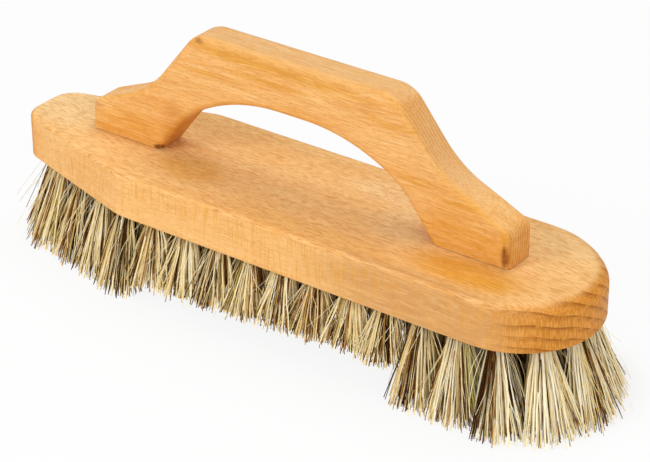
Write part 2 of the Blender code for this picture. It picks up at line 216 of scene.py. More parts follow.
def tube_faces(rings, count):
    """Faces of a closed stack of rings with this many corners: a cap, the walls and a cap."""
    faces = [tuple(reversed(range(count)))]
    for ring in range(rings - 1):
        for index in range(count):
            after = (index + 1) % count
            faces.append((ring * count + index, ring * count + after,
                          (ring + 1) * count + after, (ring + 1) * count + index))
    faces.append(tuple(range((rings - 1) * count, rings * count)))
    return faces


def slab(name, outline, half_thickness, lower_radii, upper_radii, side_steps, relief=None):
    """A closed flat piece in X and Y with rounded edges.

    relief(points, heights, normals) says how far its side is cut back.
    """
    points = evenly_spaced(outline)
    normals = inward_normals(points)
    rows = edge_rows(lower_radii(points), upper_radii(points), half_thickness, side_steps)
    verts = []
    for inset, heights in rows:
        if relief is not None:
            inset = inset + relief(points, heights, normals)
        places = points + normals * inset[:, None]
        verts += [(x, y, z) for (x, y), z in zip(places, heights)]
    mesh = bpy.data.meshes.new(name)
    mesh.from_pydata(verts, [], tube_faces(len(rows), len(points)))
    return new_object(name, mesh)


def new_object(name, data):
    """An object in the scene of this mesh, camera or lamp."""
    obj = bpy.data.objects.new(name, data)
    bpy.context.scene.collection.objects.link(obj)
    return obj


def mesh_object(name, bm):
    """An object from a bmesh, which is freed."""
    mesh = bpy.data.meshes.new(name)
    bm.to_mesh(mesh)
    bm.free()
    return new_object(name, mesh)


def cut(obj, cutter):
    """Cut the cutter's solids out of an object and remove the cutter."""
    modifier = obj.modifiers.new("cut", "BOOLEAN")
    modifier.operation = "DIFFERENCE"
    modifier.solver = "EXACT"
    modifier.object = cutter
    bpy.context.view_layer.update()
    evaluated = obj.evaluated_get(bpy.context.evaluated_depsgraph_get())
    obj.data = bpy.data.meshes.new_from_object(evaluated)
    obj.modifiers.clear()
    bpy.data.objects.remove(cutter, do_unlink=True)


def finish_piece(obj, material, nodes, sharp_angle=WOOD_SHARP_ANGLE):
    """Shade a piece, give it its material and put it in the place of its CAD nodes."""
    obj.data.materials.clear()
    obj.data.materials.append(material)
    obj.data.shade_smooth()
    obj.data.set_sharp_from_angle(angle=sharp_angle)
    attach(obj, "root")
    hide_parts(*nodes)


# The part of a spot's reach that has its full strength
SPOT_CORE = 0.35


class Tree:
    """Short calls that add nodes to one material; each value is a number, a tuple or an output."""

    def __init__(self, name):
        self.material = bpy.data.materials.new(name)
        self.material.use_nodes = True
        self.nodes = self.material.node_tree.nodes
        self.links = self.material.node_tree.links
        self.shader = self.nodes["Principled BSDF"]

    def put(self, socket, value):
        """Link an output to a socket, or set the socket's own value."""
        if isinstance(value, bpy.types.NodeSocket):
            self.links.new(value, socket)
        else:
            socket.default_value = value

    def set(self, **values):
        """Set the Principled shader's sockets, with spaces in their names as underscores."""
        for name, value in values.items():
            self.put(self.shader.inputs[name.replace("_", " ")], value)

    def place(self):
        """The place on the object, in metres."""
        return self.nodes.new("ShaderNodeTexCoord").outputs["Object"]

    def attribute(self, name):
        """A number that the mesh holds for each of its points."""
        node = self.nodes.new("ShaderNodeAttribute")
        node.attribute_name = name
        return node.outputs["Fac"]

    def maths(self, operation, first, second=0.0, clamp=False):
        """A Math node's output."""
        node = self.nodes.new("ShaderNodeMath")
        node.operation = operation
        node.use_clamp = clamp
        self.put(node.inputs[0], first)
        self.put(node.inputs[1], second)
        return node.outputs[0]

    def times(self, first, second):
        """The product of two numbers."""
        return self.maths("MULTIPLY", first, second)

    def vector(self, operation, first, second=(0.0, 0.0, 0.0)):
        """A Vector Math node's output, or its value for a length."""
        node = self.nodes.new("ShaderNodeVectorMath")
        node.operation = operation
        self.put(node.inputs[0], first)
        self.put(node.inputs[1], second)
        return node.outputs["Value" if operation == "LENGTH" else "Vector"]

    def split(self, value):
        """The three parts of a vector."""
        node = self.nodes.new("ShaderNodeSeparateXYZ")
        self.put(node.inputs[0], value)
        return tuple(node.outputs)

    def join(self, x, y, z):
        """A vector from three parts."""
        node = self.nodes.new("ShaderNodeCombineXYZ")
        for socket, value in zip(node.inputs, (x, y, z)):
            self.put(socket, value)
        return node.outputs[0]

    def noise(self, place, size, detail=1.0):
        """Noise from 0 to 1 whose lumps have this size in metres along each part of the place."""
        scaled = self.vector("MULTIPLY", place, tuple(1 / part for part in size))
        node = self.nodes.new("ShaderNodeTexNoise")
        self.put(node.inputs["Vector"], scaled)
        self.put(node.inputs["Scale"], 1.0)
        self.put(node.inputs["Detail"], detail)
        return node.outputs["Fac"]

    def ramp(self, value, low, high, to_low=0.0, to_high=1.0):
        """The value's way from low to high, eased, as a number from to_low to to_high."""
        node = self.nodes.new("ShaderNodeMapRange")
        node.interpolation_type = "SMOOTHSTEP"
        for name, part in zip(("Value", "From Min", "From Max", "To Min", "To Max"),
                              (value, low, high, to_low, to_high)):
            self.put(node.inputs[name], part)
        return node.outputs["Result"]

    def marks(self, place, kind, to_low=0.0, to_high=1.0):
        """Marks of a kind (size, detail, low, high): noise, eased from low to high."""
        size, detail, low, high = kind
        return self.ramp(self.noise(place, size, detail), low, high, to_low, to_high)

    def mix(self, share, first, second):
        """Two colours mixed."""
        node = self.nodes.new("ShaderNodeMix")
        node.data_type = "RGBA"
        colours = [socket for socket in node.inputs if socket.type == "RGBA"]
        self.put(node.inputs[0], share)
        for socket, value in zip(colours, (first, second)):
            self.put(socket, (*value, 1.0) if isinstance(value, tuple) else value)
        return [socket for socket in node.outputs if socket.type == "RGBA"][0]

    def spot(self, place, centre, reach):
        """1 near a centre, fading to 0 at an ellipsoid round it."""
        away = self.vector("SUBTRACT", place, centre)
        scaled = self.vector("MULTIPLY", away, tuple(1 / part for part in reach))
        return self.ramp(self.vector("LENGTH", scaled), 1.0, SPOT_CORE)

    def bump(self, height, distance):
        """A normal from a height that is given in this many metres."""
        node = self.nodes.new("ShaderNodeBump")
        self.put(node.inputs["Height"], height)
        self.put(node.inputs["Distance"], distance)
        self.put(node.inputs["Strength"], 1.0)
        return node.outputs["Normal"]


# Beech colours, as linear red, green, blue
BEECH_PALE = (0.92, 0.65, 0.330)
BEECH_LIGHT = (0.90, 0.555, 0.225)
BEECH_DEEP = (0.79, 0.385, 0.105)
BEECH_ORANGE = (0.70, 0.312, 0.030)
BEECH_LINE = (0.56, 0.215, 0.040)
BEECH_FLECK = (0.44, 0.165, 0.030)
BEECH_END = (0.56, 0.190, 0.009)
END_PALE = (0.70, 0.290, 0.040)
END_LINE = (0.27, 0.075, 0.004)
# Painted shade: the colour that darkens the block's front side towards the heel
BEECH_PAINTED_SHADE = (0.59, 0.295, 0.098)
# Painted sheen: the pink-grey paleness of the handle's top faces where they catch the light
BEECH_PAINTED_SHEEN = (0.76, 0.455, 0.200)
BURNT = (0.19, 0.040, 0.005)

# Marks in the wood that both boards share, as (size, detail, low, high): they show where noise
# rises from low to high. The size is along, across and through the layers, and for scorching
# along X, Y and Z.
TICKS = ((0.0007, 0.0030, 0.0120), 0.0, 0.52, 0.68)
BLOTCHES = ((0.0050, 0.0040, 0.0060), 2.0, 0.40, 0.75)
SPECKS = ((0.0022, 0.0009, 0.0007), 1.0, 0.52, 0.68)
PORES = ((0.0024, 0.00038, 0.00038), 1.0, 0.52, 0.72)
# Next: where the pale lines on the rounded edges break; these lines are painted highlight as well as
# worn wood
GLINTS_AND_SCUFFS = ((0.0140, 0.0011, 0.0011), 1.0, 0.46, 0.62)
NICKS = ((0.0055, 0.0007, 0.0007), 1.0, 0.56, 0.64)
END_RAYS = ((0.00050, 0.00050, 0.0030), 0.0, 0.37, 0.63)
RAGGED_LINES = ((0.0060, 0.0060, 0.0020), 3.0, 0.34, 0.56)
SCORCHING = ((0.0012, 0.0012, 0.0035), 2.0, 0.25, 0.60)
BLOTCH_SHARE = 0.30
PORE_SHARE = 0.30
RAGGED_LEAST = 0.30
SCORCH_LEAST = 0.55

# Soft changes of tone, streaks, lines and layers, and the ranges in which they show
SWAY_SIZE = (0.070, 0.040, 0.040)
SWAY_REACH = 0.007
WANDER_SIZE = (0.085, 0.022, 0.022)
WANDER_LAYERS = 2.6
TONE_SIZE = (0.055, 0.013, 0.013)
TONE_RANGE = (0.32, 0.70)
STREAK_RANGE = (0.36, 0.66)
LINE_RANGE = (0.52, 0.66)
PALE_LINE_RANGE = (0.46, 0.30)
LAYER_POWER = 1.8
LAYER_TOP = 0.95
END_LINE_RANGE = (0.76, 0.90)
FAINT_LINE_SHARE = 0.30

# Ranges with what they give, as (low, high, at low, at high)
TICK_PATCHES = (0.38, 0.62, 0.25, 1.0)
STAIN_PATCHES = (0.2, 0.6, 0.70, 1.0)
END_SHADING = (0.30, 0.96, 0.0, 0.70)
BEECH_ROUGHNESS = (0.3, 0.8, 0.44, 0.60)
BEECH_SPECULAR = 0.15
LINE_RELIEF = -0.5
GRAIN_RELIEF = 0.00005

# How the grain of each board shows. Between the two x of straight_x the layers come to wander
# less, and between those of faint_line_x their lines on the end grain come to show in full.
BLOCK_GRAIN = SimpleNamespace(
    layers_along_y=False, layer_spacing=RING_SPACING, layer_bend=RING_BEND, layer_share=0.10,
    straight_x=(HEEL_CENTRE_X - 0.02, HEEL_X), faint_line_x=(-0.08, 0.0),
    tones=(0.05, 0.42), streak_size=(0.042, 0.0030, 0.0021), streak_swing=0.05,
    line_size=(0.010, 0.0007, 0.0008), line_share=0.18, pale_line_share=0.20,
    dashes=((0.0042, 0.00052, 0.0016), 0.0, 0.55, 0.64),
    dash_share=0.44, speck_share=0.18, tick_share=0.45,
    edge_shade_share=0.40, edge_shade_colour=BEECH_DEEP, highlight_and_wear=0.30, nicks=0.50,
    end_slopes=(0.12, 0.70), end_share=0.92, end_line_share=0.76,
)
HANDLE_GRAIN = SimpleNamespace(
    layers_along_y=True, layer_spacing=0.0017, layer_bend=(0.085, 1.5), layer_share=0.14,
    straight_x=None, faint_line_x=None,
    tones=(0.50, 1.00), streak_size=(0.060, 0.0026, 0.0030), streak_swing=0.18,
    line_size=(0.014, 0.0007, 0.0007), line_share=0.26, pale_line_share=0.28,
    dashes=((0.0048, 0.00062, 0.0016), 0.0, 0.55, 0.64),
    dash_share=0.24, speck_share=0.0, tick_share=0.05,
    edge_shade_share=0.30, edge_shade_colour=BEECH_ORANGE, highlight_and_wear=0.0, nicks=0.12,
    end_slopes=(0.45, 1.00), end_share=0.34, end_line_share=0.45,
)

# Burnt spots of the photographed handle, as (centre, reach, strength), and deeper or paler
# stretches of the block and the handle, as (centre, reach, strength, colour); among them are
# painted shade, painted sheen and painted light, each marked below
HANDLE_BURNS = (
    ((HANDLE_HIGH.x - 0.0020, HANDLE_FRONT + 0.0005, SOLE + 0.0052), (0.0023, 0.0031, 0.0074), 0.85),
    ((-0.0474, HANDLE_FRONT + 0.0010, HANDLE_HIGH.z - 0.0024), (0.0036, 0.0030, 0.0016), 0.55),
    ((-0.0704, HANDLE_FRONT + 0.0005, SOLE + 0.0008), (0.0042, 0.0036, 0.0022), 0.95),
    ((-0.1035, HANDLE_FRONT + 0.0005, SOLE + 0.0118), (0.0046, 0.0030, 0.0015), 0.30),
)
BLOCK_STAINS = (
    ((0.092, -0.019, BLOCK_TOP), (0.036, 0.014, 0.006), 0.95, BEECH_ORANGE),
    ((-0.049, -0.014, BLOCK_TOP), (0.024, 0.014, 0.006), 0.55, BEECH_ORANGE),
    ((0.030, -0.028, BLOCK_TOP), (0.060, 0.010, 0.006), 0.30, BEECH_ORANGE),
    # Painted sheen: a paler patch on the block's top behind the handle, under its arch
    ((0.030, 0.018, BLOCK_TOP), (0.026, 0.012, 0.006), 0.60, BEECH_PALE),
    ((0.118, 0.026, BLOCK_TOP), (0.030, 0.014, 0.006), 0.45, BEECH_PALE),
    # Painted light on the block's top beside the inner foot of the handle's heel leg, lifting the
    # shade that falls there
    ((0.054, 0.001, BLOCK_TOP), (0.024, 0.020, 0.006), 0.68, BEECH_PALE),
    ((-0.128, 0.004, BLOCK_TOP), (0.036, 0.024, 0.006), 0.80, BEECH_PALE),
    # Painted shade on the block's front side, darkest towards the heel
    ((0.085, -HALF_WIDTH, BLOCK_MIDDLE_Z), (0.075, 0.010, 0.030), 0.92, BEECH_PAINTED_SHADE),
    ((-0.025, -HALF_WIDTH, BLOCK_MIDDLE_Z), (0.070, 0.010, 0.030), 0.35, BEECH_DEEP),
    ((NOSE_X + 0.004, -0.012, UNDERSIDE + 0.008), (0.018, 0.014, 0.012), 0.60, BEECH_DEEP),
)
HANDLE_STAINS = (
    ((-0.085, HANDLE_FRONT, SOLE), (0.036, 0.006, 0.020), 0.65, BEECH_ORANGE),
    ((0.085, HANDLE_FRONT, SOLE), (0.040, 0.006, 0.024), 0.70, BEECH_ORANGE),
    ((HANDLE_HIGH.x - 0.002, HANDLE_FRONT, SOLE + 0.012), (0.0030, 0.004, 0.010), 0.70, BEECH_ORANGE),
    # Painted shade on the inner face of the nose leg under the arch, deepest at its foot by the block
    ((-0.062, 0.0, SOLE + 0.010), (0.012, 0.014, 0.026), 0.85, BEECH_END),
    ((-0.0655, 0.001, SOLE + 0.002), (0.008, 0.013, 0.009), 0.55, BEECH_LINE),
    # Painted sheen on the grip's top and on the sloping top of the heel leg
    ((-0.005, 0.002, HANDLE_HIGH.z), (0.100, 0.018, 0.006), 0.90, BEECH_PAINTED_SHEEN),
    ((0.070, 0.002, 0.098), (0.032, 0.014, 0.032), 0.85, BEECH_PAINTED_SHEEN),
    ((-0.010, HANDLE_FRONT, HANDLE_HIGH.z - 0.0045), (0.064, 0.005, 0.0044), 0.75, BEECH_ORANGE),
    ((-0.042, HANDLE_FRONT, 0.1006), (0.016, 0.004, 0.0024), 0.65, BEECH_ORANGE),
    ((-0.012, HANDLE_FRONT, 0.1048), (0.028, 0.004, 0.0018), 0.60, BEECH_ORANGE),
    ((0.047, HANDLE_FRONT, 0.1036), (0.022, 0.004, 0.0018), 0.65, BEECH_ORANGE),
    ((0.062, HANDLE_FRONT, 0.0830), (0.015, 0.004, 0.0024), 0.60, BEECH_ORANGE),
    ((0.081, HANDLE_FRONT, 0.0788), (0.016, 0.004, 0.0018), 0.65, BEECH_ORANGE),
    ((-0.086, HANDLE_FRONT, 0.0658), (0.018, 0.004, 0.0016), 0.60, BEECH_ORANGE),
)


def board_outputs(tree, grain):
    """What all marks of a board are placed by: its directions, facings and soft noises."""
    place = tree.place()
    x, y, z = tree.split(place)
    normal = tree.nodes.new("ShaderNodeNewGeometry").outputs["Normal"]
    facing_x, facing_y, facing_z = [tree.maths("ABSOLUTE", part) for part in tree.split(normal)]
    if grain.layers_along_y:
        across, through, facing_across, facing_through = z, y, facing_z, facing_y
    else:
        across, through, facing_across, facing_through = y, z, facing_y, facing_z
    grid = tree.join(x, across, through)
    sway = tree.maths("SUBTRACT", tree.noise(grid, SWAY_SIZE), 0.5)
    sway = tree.times(sway, SWAY_REACH)
    swayed = tree.vector("ADD", grid, tree.join(0.0, sway, sway))
    return SimpleNamespace(
        place=place, x=x, y=y, across=across, through=through, grid=grid, swayed=swayed,
        facing_across=facing_across, facing_through=facing_through,
        facing_end=tree.ramp(facing_x, *grain.end_slopes),
        tone=tree.noise(swayed, TONE_SIZE, 2.0),
        streaks=tree.noise(swayed, grain.streak_size, 2.0),
        lines=tree.noise(swayed, grain.line_size),
    )


def growth_layers(tree, grain, board):
    """How far a place lies from one layer's line, at 0, to the next one, at 1."""
    wander = tree.maths("SUBTRACT", tree.noise(board.grid, WANDER_SIZE, 1.5), 0.5)
    if grain.straight_x:
        wander = tree.times(wander, tree.ramp(board.x, *grain.straight_x, 1.0, 0.0))
    crest, curvature = grain.layer_bend
    from_crest = tree.maths("SUBTRACT", board.across, crest)
    drop = tree.times(tree.times(from_crest, from_crest), curvature)
    depth = tree.maths("SUBTRACT", tree.maths("ADD", board.through, drop), RING_ORIGIN)
    level = tree.maths("DIVIDE", depth, grain.layer_spacing)
    level = tree.maths("ADD", level, tree.times(wander, WANDER_LAYERS))
    for height, length, start in RING_WAVES:
        along = tree.maths("DIVIDE", tree.maths("ADD", board.x, board.y), length)
        wave = tree.maths("SINE", tree.maths("ADD", along, start))
        level = tree.maths("ADD", level, tree.times(wave, height))
    return tree.maths("FRACT", level)


def ray_marks(tree, grain, board):
    """The wood's rays: short dashes on the layers' faces and upright ticks on the sides."""
    dashes = tree.times(tree.marks(board.swayed, grain.dashes), board.facing_through)
    ticks = tree.times(tree.marks(board.grid, TICKS), board.facing_across)
    return dashes, tree.times(ticks, tree.ramp(board.tone, *TICK_PATCHES))


def board_colour(tree, grain, board, layer, stains):
    """Broad changes of tone, swaying streaks, stains, growth layers and fine fibre lines."""
    tone = tree.ramp(board.tone, *TONE_RANGE, *grain.tones)
    swing = tree.ramp(board.streaks, *STREAK_RANGE, -grain.streak_swing, grain.streak_swing)
    colour = tree.mix(tree.maths("ADD", tone, swing, clamp=True), BEECH_LIGHT, BEECH_DEEP)
    for centre, reach, strength, stain_colour in stains:
        stain = tree.times(tree.spot(board.place, centre, reach), strength)
        patchy = tree.times(stain, tree.ramp(board.streaks, *STAIN_PATCHES))
        colour = tree.mix(patchy, colour, stain_colour)
    darker = tree.maths("POWER", layer, LAYER_POWER)
    darker = tree.times(darker, tree.ramp(layer, 1.0, LAYER_TOP))
    colour = tree.mix(tree.times(darker, grain.layer_share), colour, BEECH_LINE)
    lines = tree.ramp(board.lines, *LINE_RANGE, 0.0, grain.line_share)
    colour = tree.mix(lines, colour, BEECH_LINE)
    pale_lines = tree.ramp(board.lines, *PALE_LINE_RANGE, 0.0, grain.pale_line_share)
    return tree.mix(pale_lines, colour, BEECH_PALE)


def with_marks(tree, grain, board, colour, dashes, ticks):
    """The colour with its blotches, rays, specks and pores."""
    blotches = tree.times(tree.marks(board.grid, BLOTCHES), board.facing_across)
    colour = tree.mix(tree.times(blotches, BLOTCH_SHARE), colour, BEECH_DEEP)
    colour = tree.mix(tree.times(dashes, grain.dash_share), colour, BEECH_LINE)
    colour = tree.mix(tree.times(ticks, grain.tick_share), colour, BEECH_ORANGE)
    specks = tree.times(tree.marks(board.grid, SPECKS), board.facing_across)
    colour = tree.mix(tree.times(specks, grain.speck_share), colour, BEECH_LINE)
    return tree.mix(tree.marks(board.grid, PORES, 0.0, PORE_SHARE), colour, BEECH_FLECK)


def with_shaded_lit_and_worn_edges(tree, grain, board, colour):
    """The colour, with painted shade deeper on the long rounded edges, broken lines of painted
    highlight where they are also worn paler, and dark nicks.
    """
    rounding = tree.times(tree.times(board.facing_across, board.facing_through), 2.0)
    # Painted shade on the rounded edges, deepening them against the lamps' highlight there
    colour = tree.mix(tree.times(rounding, grain.edge_shade_share), colour, grain.edge_shade_colour)
    # Broken pale lines on the rounded edges: painted highlight, and partly worn wood
    highlight_and_scuffs = tree.marks(board.grid, GLINTS_AND_SCUFFS, 0.0, grain.highlight_and_wear)
    colour = tree.mix(tree.times(rounding, highlight_and_scuffs), colour, BEECH_PALE)
    nicks = tree.marks(board.grid, NICKS, 0.0, grain.nicks)
    return tree.mix(tree.times(rounding, nicks), colour, BEECH_FLECK)


def with_end_grain(tree, grain, board, layer, colour):
    """The colour, on the ends with fine upright rays and a dark ragged line for each layer."""
    end_colour = tree.mix(tree.marks(board.grid, END_RAYS), BEECH_END, END_PALE)
    colour = tree.mix(tree.times(board.facing_end, grain.end_share), colour, end_colour)
    ragged = tree.marks(board.grid, RAGGED_LINES, RAGGED_LEAST, 1.0)
    line_share = tree.times(tree.times(board.facing_end, ragged), grain.end_line_share)
    if grain.faint_line_x:
        fading = tree.ramp(board.x, *grain.faint_line_x, FAINT_LINE_SHARE, 1.0)
        line_share = tree.times(line_share, fading)
    shaded = tree.ramp(layer, *END_SHADING)
    dark_end = tree.maths("MAXIMUM", shaded, tree.ramp(layer, *END_LINE_RANGE))
    return tree.mix(tree.times(dark_end, line_share), colour, END_LINE)


def with_burns(tree, board, burns, colour):
    """The colour with burnt marks where a cutter rubbed."""
    scorched = tree.marks(board.place, SCORCHING, SCORCH_LEAST, 1.0)
    for centre, reach, strength in burns:
        burn = tree.times(tree.spot(board.place, centre, reach), strength)
        colour = tree.mix(tree.times(burn, scorched), colour, BURNT)
    return colour


def beech(name, grain, stains, burns):
    """Oiled beech with its grain along X and growth layers stacked along Z, or along Y."""
    tree = Tree(name)
    board = board_outputs(tree, grain)
    layer = growth_layers(tree, grain, board)
    dashes, ticks = ray_marks(tree, grain, board)
    colour = board_colour(tree, grain, board, layer, stains)
    colour = with_marks(tree, grain, board, colour, dashes, ticks)
    colour = with_shaded_lit_and_worn_edges(tree, grain, board, colour)
    colour = with_end_grain(tree, grain, board, layer, colour)
    colour = with_burns(tree, board, burns, colour)
    sunk = tree.maths("ADD", dashes, ticks)
    height = tree.maths("SUBTRACT", tree.times(board.lines, LINE_RELIEF), sunk)
    tree.set(Base_Color=colour, Roughness=tree.ramp(board.streaks, *BEECH_ROUGHNESS),
             Normal=tree.bump(height, GRAIN_RELIEF), Specular_IOR_Level=BEECH_SPECULAR)
    return tree.material


# Fibre colours from the darkest to the palest kind, as (share of the way, linear colour)
FIBRE_RAMP = (
    (0.00, (0.025, 0.008, 0.001)),
    (0.12, (0.075, 0.028, 0.004)),
    (0.25, (0.200, 0.080, 0.014)),
    (0.40, (0.470, 0.225, 0.055)),
    (0.50, (0.440, 0.420, 0.110)),
    (0.60, (0.700, 0.465, 0.165)),
    (0.78, (0.890, 0.700, 0.325)),
    (1.00, (0.990, 0.925, 0.700)),
)
FIBRE_SHADE = (0.060, 0.022, 0.001)
FIBRE_BLOTCHES = ((0.0012, 0.0012, 0.0060), 2.0, 0.25, 0.75)
FIBRE_BLOTCH_TONES = (-0.07, 0.05)
FIBRE_ROUGHNESS = 0.55
FIBRE_SPECULAR = 0.05

# Zinc: its colour and roughness change along the turning marks
ZINC_DARK = (0.50, 0.51, 0.53)
ZINC_LIGHT = (0.66, 0.67, 0.69)
ZINC_ROUGHNESS = (0.28, 0.45)
TURNING_MARKS = ((0.0008, 0.0008, 0.00008), 2.0, 0.3, 0.7)


def fibre_material():
    """Plant fibre whose tone and shade near the root come from the mesh."""
    tree = Tree("plant_fibre")
    tone = tree.attribute("tone")
    shade = tree.attribute("shade")
    shift = tree.marks(tree.place(), FIBRE_BLOTCHES, *FIBRE_BLOTCH_TONES)
    ramp = tree.nodes.new("ShaderNodeValToRGB")
    tree.put(ramp.inputs["Fac"], tree.maths("ADD", tone, shift, clamp=True))
    stops = ramp.color_ramp.elements
    while len(stops) < len(FIBRE_RAMP):
        stops.new(0.5)
    for stop, (position, colour) in zip(stops, FIBRE_RAMP):
        stop.position = position
        stop.color = (*colour, 1.0)
    colour = tree.mix(shade, ramp.outputs["Color"], FIBRE_SHADE)
    tree.set(Base_Color=colour, Roughness=FIBRE_ROUGHNESS, Specular_IOR_Level=FIBRE_SPECULAR)
    return tree.material


def zinc_material():
    """Zinc-plated steel with faint turning marks."""
    tree = Tree("zinc_plated_steel")
    place = tree.place()
    colour = tree.mix(tree.marks(place, TURNING_MARKS), ZINC_DARK, ZINC_LIGHT)
    roughness = tree.marks(place, TURNING_MARKS, *ZINC_ROUGHNESS)
    tree.set(Base_Color=colour, Roughness=roughness, Metallic=1.0)
    return tree.material


def block_outline():
    """The block seen from above: blunt nose, shoulders and a full round heel."""
    nose_half = NOSE_WIDTH / 2
    shoulder_x = NOSE_X + TAPER_LENGTH
    return rounded_outline([
        (NOSE_X, -nose_half, NOSE_CORNER_RADIUS),
        (shoulder_x, -HALF_WIDTH, SHOULDER_RADIUS),
        (HEEL_X, -HALF_WIDTH, HALF_WIDTH),
        (HEEL_X, HALF_WIDTH, HALF_WIDTH),
        (shoulder_x, HALF_WIDTH, SHOULDER_RADIUS),
        (NOSE_X, nose_half, NOSE_CORNER_RADIUS),
    ])


def block_top_radii(points):
    """Rounding of the block's top edge: more round the heel."""
    into_heel = eased((points[:, 0] - HEEL_CENTRE_X + HEEL_EDGE_LEAD) / HEEL_EDGE_RUN)
    return SIDE_EDGE_RADIUS + (HEEL_EDGE_RADIUS - SIDE_EDGE_RADIUS) * into_heel


def block_underside_radii(points):
    """Rounding of the block's lower edge, the same all round."""
    return np.full(len(points), UNDERSIDE_EDGE_RADIUS)


def ring_relief(points, heights, normals):
    """How far the soft part of each layer is worn back, where the heel cuts across the grain."""
    crest, curvature = RING_BEND
    drop = curvature * (points[:, 1] - crest) ** 2
    level = (heights + BLOCK_MIDDLE_Z - RING_ORIGIN + drop) / RING_SPACING
    for height, length, start in RING_WAVES:
        level = level + height * np.sin(points.sum(axis=1) / length + start)
    part_of_layer = level - np.floor(level)
    to_edge = np.abs(heights) / (BLOCK_TOP - BLOCK_MIDDLE_Z)
    on_side = np.clip(1.0 - to_edge ** RING_EDGE_POWER, 0.0, 1.0)
    facing_end = np.clip(-normals[:, 0], 0.0, 1.0) ** RING_END_POWER
    return RING_RELIEF * part_of_layer * facing_end * on_side


def leg_corners(foot_end_height, apron_length, apron_angle):
    """Corners of a leg on the heel side, from below its sole out and up to the grip."""
    half = HANDLE_LENGTH / 2
    bend_height = foot_end_height + apron_length * math.tan(apron_angle)
    top_run = apron_length + (HANDLE_HEIGHT - bend_height) / math.tan(LEG_ANGLE)
    return [
        (half - FOOT_LENGTH + OVERSHOOT / math.tan(ARCH_LEG_ANGLE), -OVERSHOOT, 0.0),
        (half, -OVERSHOOT, 0.0),
        (half, foot_end_height, FOOT_CORNER_RADIUS),
        (half - apron_length, bend_height, APRON_RADIUS),
        (half - top_run, HANDLE_HEIGHT, TOP_CORNER_RADIUS),
    ]


def arch_corners():
    """Corners of the arch over the finger gap, from its crown down to the heel leg."""
    half = HANDLE_LENGTH / 2
    arch_height = HANDLE_HEIGHT - GRIP_DEPTH
    haunch_run = FOOT_LENGTH + HAUNCH_HEIGHT / math.tan(ARCH_LEG_ANGLE)
    crown_run = haunch_run + (arch_height - HAUNCH_HEIGHT) / math.tan(HAUNCH_ANGLE)
    return [
        (half - crown_run, arch_height, CROWN_RADIUS),
        (half - haunch_run, HAUNCH_HEIGHT, HAUNCH_RADIUS),
    ]


def mirrored(corners):
    """The same corners on the nose side, in the order that goes on round the outline."""
    return [(-x, y, radius) for x, y, radius in reversed(corners)]


def handle_outline():
    """The handle seen from the side, around its middle, running on below its soles at y = 0."""
    heel_leg = leg_corners(HEEL_FOOT_END_HEIGHT, HEEL_APRON_LENGTH, HEEL_APRON_ANGLE)
    nose_leg = leg_corners(NOSE_FOOT_END_HEIGHT, NOSE_APRON_LENGTH, NOSE_APRON_ANGLE)
    arch = arch_corners()
    return rounded_outline(heel_leg + mirrored(nose_leg) + mirrored(arch) + arch)


def handle_radii(points):
    """Rounding of the handle's edges: less round the feet."""
    from_end = np.abs(points[:, 0]) - HANDLE_LENGTH / 2
    to_foot = eased((from_end + FOOT_EDGE_LEAD) / FOOT_EDGE_RUN)
    return GRIP_EDGE_RADIUS + (FOOT_EDGE_RADIUS - GRIP_EDGE_RADIUS) * to_foot


def screw_room(node):
    """Cutter for a screw's hole, from below its head to above its point."""
    low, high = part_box(node)
    centre_x = (low.x + high.x) / 2
    head_radius = high.y + SCREW_GAP
    shank_radius = SCREW_SHANK_RADIUS + SCREW_GAP
    profile = [
        (head_radius, low.z - OVERSHOOT),
        (head_radius, low.z + SCREW_GAP),
        (shank_radius, low.z + SCREW_HEAD_HEIGHT + SCREW_GAP),
        (shank_radius, high.z - SCREW_POINT_LENGTH),
        (SCREW_GAP, high.z + SCREW_GAP),
    ]
    bm = bmesh.new()
    verts = []
    for radius, z in profile:
        for side in range(SCREW_HOLE_SIDES):
            angle = math.tau * side / SCREW_HOLE_SIDES
            place = (centre_x + radius * math.cos(angle), radius * math.sin(angle), z)
            verts.append(bm.verts.new(place))
    for face in tube_faces(len(profile), SCREW_HOLE_SIDES):
        bm.faces.new([verts[corner] for corner in face])
    return mesh_object("screw_room", bm)


def make_block(roots, material):
    """The board with rounded edges, worn growth layers at the heel and all its holes."""
    half = (BLOCK_TOP - UNDERSIDE) / 2
    block = slab("block_board", block_outline(), half, block_underside_radii, block_top_radii,
                 BLOCK_SIDE_STEPS, ring_relief)
    block.data.transform(Matrix.Translation((0.0, 0.0, UNDERSIDE + half)))
    bm = bmesh.new()
    for root in roots:
        place = Matrix.Translation((root.x, root.y, UNDERSIDE + (HOLE_DEPTH - OVERSHOOT) / 2))
        bmesh.ops.create_cone(bm, cap_ends=True, segments=HOLE_SIDES, radius1=HOLE_RADIUS,
                              radius2=HOLE_RADIUS, depth=HOLE_DEPTH + OVERSHOOT, matrix=place)
    cut(block, mesh_object("tuft_holes", bm))
    for node in SCREW_NODES:
        cut(block, screw_room(node))
    finish_piece(block, material, ["block"])


